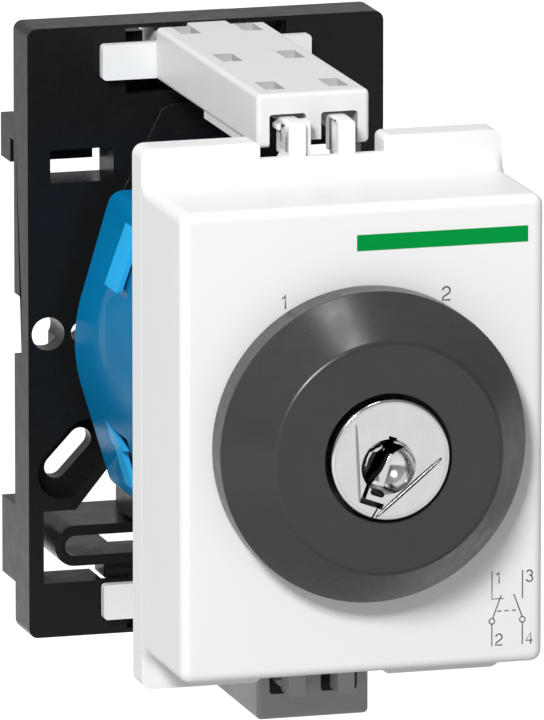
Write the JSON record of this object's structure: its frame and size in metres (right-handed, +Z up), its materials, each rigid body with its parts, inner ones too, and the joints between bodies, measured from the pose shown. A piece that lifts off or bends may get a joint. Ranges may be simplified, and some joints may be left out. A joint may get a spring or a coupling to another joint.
{
  "type": "selector key switch",
  "caption": "Key-operated rotary changeover switch on a rail-mounting base, with a push-fit front cover, a conical lock bezel and a translucent contact housing.",
  "frame": {"origin": "centre of the rail seat on the back of the base plate, where the key's axis passes through the plate's round hole", "axes": "+Y into the panel, towards the rail; +Z up; +X to the right of someone facing the key"},
  "size_m": [0.036, 0.0734, 0.061],
  "materials": {
    "black_moulding": "satin black moulded plastic with a fine texture",
    "black_nylon": "matt black nylon",
    "bezel_black": "semi-gloss black plastic",
    "cover_white": "semi-gloss white plastic",
    "arm_pale": "satin pale grey plastic",
    "arm_grey": "satin mid grey plastic",
    "housing_blue": "translucent blue polycarbonate",
    "natural_nylon": "natural nylon",
    "lock_chrome": "polished chrome with a fine turned grain",
    "contact_brass": "satin brass",
    "zinc_steel": "bright zinc-plated steel"
  },
  "bodies": {
    "frame": {"base_plate": "black_moulding", "base_screw_lower": "zinc_steel", "base_screw_upper": "zinc_steel", "clamp_plate_1": "zinc_steel", "clamp_plate_2": "zinc_steel", "clamp_plate_3": "zinc_steel", "clamp_plate_4": "zinc_steel", "contact_housing": "housing_blue", "contact_spring_left": "zinc_steel", "contact_spring_right": "zinc_steel", "detent_spring": "zinc_steel", "front_cover": "cover_white", "index_plate": "black_nylon", "key_bezel": "bezel_black", "latch_spring_left": "zinc_steel", "latch_spring_right": "zinc_steel", "lock_barrel": "contact_brass", "lock_nut": "black_nylon", "lower_arm": "arm_grey", "lower_clip": "cover_white", "switch_foot_lower": "housing_blue", "switch_foot_upper": "housing_blue", "terminal_1": "contact_brass", "terminal_2": "contact_brass", "terminal_3": "contact_brass", "terminal_4": "contact_brass", "terminal_screw_1": "zinc_steel", "terminal_screw_2": "zinc_steel", "terminal_screw_3": "zinc_steel", "terminal_screw_4": "zinc_steel", "tie_screw_lower": "zinc_steel", "tie_screw_upper": "zinc_steel", "upper_arm": "arm_pale", "upper_clip": "cover_white"},
    "key_rotor": {"lock_plug": "lock_chrome", "plug_clip": "zinc_steel", "drive_coupling": "black_nylon", "cam_shaft": "zinc_steel", "cam_disc": "natural_nylon", "detent_wheel": "natural_nylon"},
    "latch": {"din_latch": "black_moulding"},
    "detent": {"detent_plunger": "zinc_steel"},
    "right_contact": {"plunger_right": "natural_nylon", "contact_bridge_right": "contact_brass"},
    "left_contact": {"plunger_left": "natural_nylon", "contact_bridge_left": "contact_brass"}
  },
  "joints": [
    {"name": "key_turn", "type": "hinge", "parent": "frame", "child": "key_rotor", "pos_m": [0, -0.0685, 0], "axis": [0, -1, 0], "range_deg": [0, 60]},
    {"name": "latch_slide", "type": "slide", "parent": "frame", "child": "latch", "axis": [0, 0, -1], "range_m": [0, 0.0015], "stiffness_N_per_m": 250, "springref_m": -0.002, "deforming": ["latch_spring_right", "latch_spring_left"]},
    {"name": "detent_slide", "type": "slide", "parent": "frame", "child": "detent", "axis": [0, 0, 1], "range_m": [0, 0.0008], "stiffness_N_per_m": 100, "springref_m": -0.001, "deforming": ["detent_spring"]},
    {"name": "right_contact_slide", "type": "slide", "parent": "frame", "child": "right_contact", "axis": [1, 0, 0], "range_m": [0, 0.0012], "deforming": ["contact_spring_right"]},
    {"name": "left_contact_slide", "type": "slide", "parent": "frame", "child": "left_contact", "axis": [-1, 0, 0], "range_m": [-0.0012, 0], "deforming": ["contact_spring_left"]}
  ],
  "couplings": [
    {"joint": "right_contact_slide", "follows": "key_turn", "m_per_rad": 0.001145},
    {"joint": "left_contact_slide", "follows": "key_turn", "m_per_rad": -0.001145}
  ]
}
